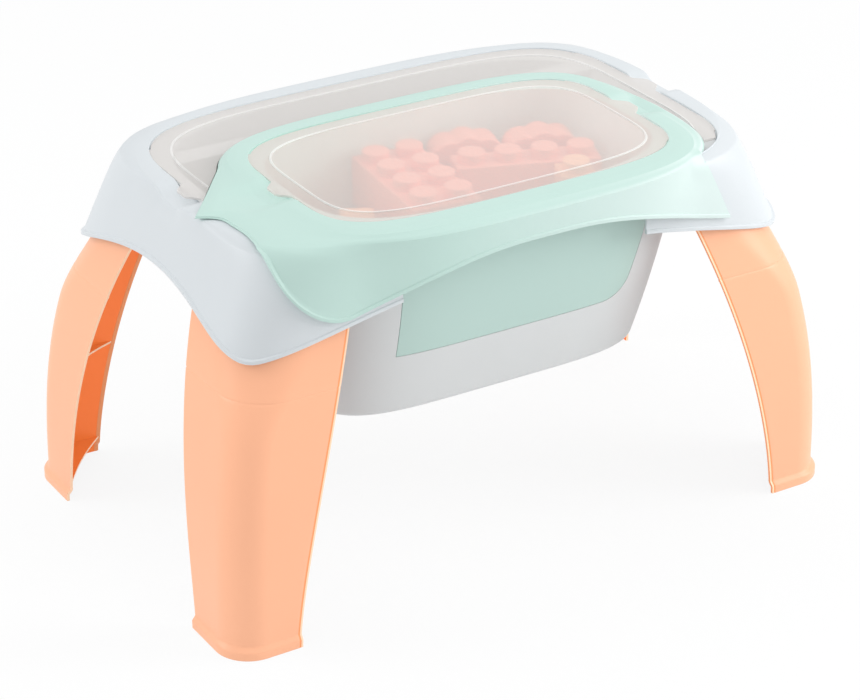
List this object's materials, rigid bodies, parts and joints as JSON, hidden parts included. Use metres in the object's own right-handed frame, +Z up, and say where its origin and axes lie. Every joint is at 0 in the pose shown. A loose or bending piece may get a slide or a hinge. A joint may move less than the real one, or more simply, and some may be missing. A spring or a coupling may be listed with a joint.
{
  "type": "kids play table with storage",
  "caption": "Low toddler play table with splayed legs, a storage tub under the top, a lift-out front bin with its own skirt, two frosted lift-off lids and toy bricks.",
  "frame": {"origin": "on the floor, under the middle of the table", "axes": "+X along the table's length to the right, seen from the front; +Y to the rear, away from the front bin; +Z up"},
  "size_m": [0.74, 0.474, 0.4104],
  "materials": {
    "table_frame": "smooth satin moulding",
    "storage_tub": "smooth satin moulding",
    "leg": "smooth satin moulding",
    "front_bin": "smooth satin moulding",
    "lid": "frosted, see-through",
    "brick": "smooth",
    "shape_brick": "smooth"
  },
  "bodies": {
    "table": {"table_frame": "table_frame", "storage_tub": "storage_tub", "tub_divider": "storage_tub", "leg_front_left": "leg", "leg_front_right": "leg", "leg_rear_left": "leg", "leg_rear_right": "leg"},
    "rear_lid": {"back_lid": "lid"},
    "bin": {"front_bin": "front_bin", "base_brick_1": "brick", "base_brick_2": "brick", "base_brick_3": "brick", "base_brick_4": "brick", "stud_brick": "brick", "row_brick": "shape_brick", "cloud_brick_left": "shape_brick", "cloud_brick_right": "shape_brick", "arch_brick": "shape_brick", "drum_brick": "shape_brick", "tower_brick": "shape_brick", "ring_brick": "shape_brick"},
    "bin_lid": {"front_lid": "lid"}
  },
  "joints": [
    {"name": "back_lid_lift", "type": "slide", "parent": "table", "child": "rear_lid", "axis": [0, 0, 1], "range_m": [0, 0.12]},
    {"name": "front_bin_lift", "type": "slide", "parent": "table", "child": "bin", "axis": [0, 0, 1], "range_m": [0, 0.16]},
    {"name": "front_lid_lift", "type": "slide", "parent": "bin", "child": "bin_lid", "axis": [0, 0, 1], "range_m": [0, 0.12]}
  ]
}
